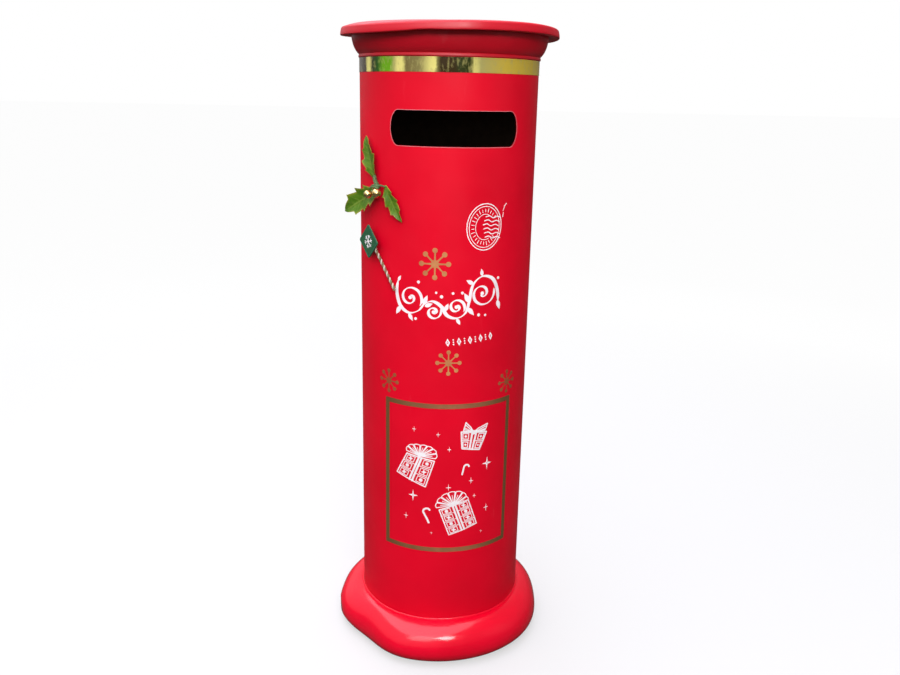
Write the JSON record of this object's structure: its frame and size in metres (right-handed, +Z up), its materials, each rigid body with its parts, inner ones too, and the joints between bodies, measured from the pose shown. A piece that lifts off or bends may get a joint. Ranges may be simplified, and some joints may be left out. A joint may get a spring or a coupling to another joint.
{
  "type": "mailbox",
  "caption": "Red round pillar box for Christmas letters, with a front slot, a lid, a holly spray and a rear emptying door with a cam lock.",
  "frame": {"origin": "centre of the footprint, on the floor", "axes": "+Z up, the letter slot faces -Y, +X to the right seen from the front"},
  "size_m": [0.46, 0.46, 1.2866],
  "materials": {
    "red_paint": "satin red paint on a cardboard tube",
    "gloss_red": "gloss red paint",
    "plywood": "raw plywood",
    "rubber": "matte",
    "gold_foil": "mirror gold foil",
    "gold_vinyl": "satin gold vinyl film",
    "white_vinyl": "satin white vinyl film",
    "zinc": "zinc plated",
    "chrome": "polished",
    "leaf_green": "satin artificial leaf",
    "stem_green": "green tape",
    "berry_gold": "metallic gold",
    "sign_green": "green paint",
    "stick_gold": "twisted gold and white paper"
  },
  "bodies": {
    "cabinet": {"body_tube": "red_paint", "cap_disc": "red_paint", "cornice_ring": "red_paint", "door_stop_frame": "red_paint", "base_ring": "gloss_red", "base_board": "plywood", "letter_floor": "plywood", "top_board": "plywood", "floor_cleat_1": "plywood", "floor_cleat_2": "plywood", "floor_cleat_3": "plywood", "foot_pad_1": "rubber", "foot_pad_2": "rubber", "foot_pad_3": "rubber", "foot_pad_4": "rubber", "gold_band": "gold_foil", "frame_decal": "gold_vinyl", "snowflake_decal_1": "gold_vinyl", "snowflake_decal_2": "gold_vinyl", "snowflake_decal_3": "gold_vinyl", "snowflake_decal_4": "gold_vinyl", "postmark_decal": "white_vinyl", "flourish_decal_large": "white_vinyl", "flourish_decal_small": "white_vinyl", "gift_decal_1": "white_vinyl", "gift_decal_2": "white_vinyl", "gift_decal_3": "white_vinyl", "cap_screw_1": "zinc", "cap_screw_2": "zinc", "cap_screw_3": "zinc", "cap_screw_4": "zinc", "hinge_upper_body_leaf": "zinc", "hinge_upper_pin": "zinc", "hinge_lower_body_leaf": "zinc", "hinge_lower_pin": "zinc", "body_hinge_screw_1": "zinc", "body_hinge_screw_2": "zinc", "body_hinge_screw_3": "zinc", "body_hinge_screw_4": "zinc", "holly_leaf_1": "leaf_green", "holly_leaf_2": "leaf_green", "holly_leaf_3": "leaf_green", "holly_stem": "stem_green", "holly_berry_1": "berry_gold", "holly_berry_2": "berry_gold", "pick_sign": "sign_green", "pick_stick": "stick_gold"},
    "door": {"rear_door": "red_paint", "hinge_upper_door_leaf": "zinc", "hinge_lower_door_leaf": "zinc", "lock_housing": "chrome", "lock_nut": "zinc", "door_hinge_screw_1": "zinc", "door_hinge_screw_2": "zinc", "door_hinge_screw_3": "zinc", "door_hinge_screw_4": "zinc"},
    "lock_barrel": {"lock_plug": "chrome", "lock_cam": "zinc", "lock_cam_screw": "zinc", "lock_key": "chrome"}
  },
  "joints": [
    {"name": "door_hinge", "type": "hinge", "parent": "cabinet", "child": "door", "pos_m": [0.11643, 0.13753, 0.34], "axis": [0, 0, -1], "range_deg": [0, 120]},
    {"name": "lock_turn", "type": "hinge", "parent": "door", "child": "lock_barrel", "pos_m": [-0.09013, 0.15, 0.34], "axis": [-0.515, 0.8572, 0], "range_deg": [0, 90]}
  ]
}
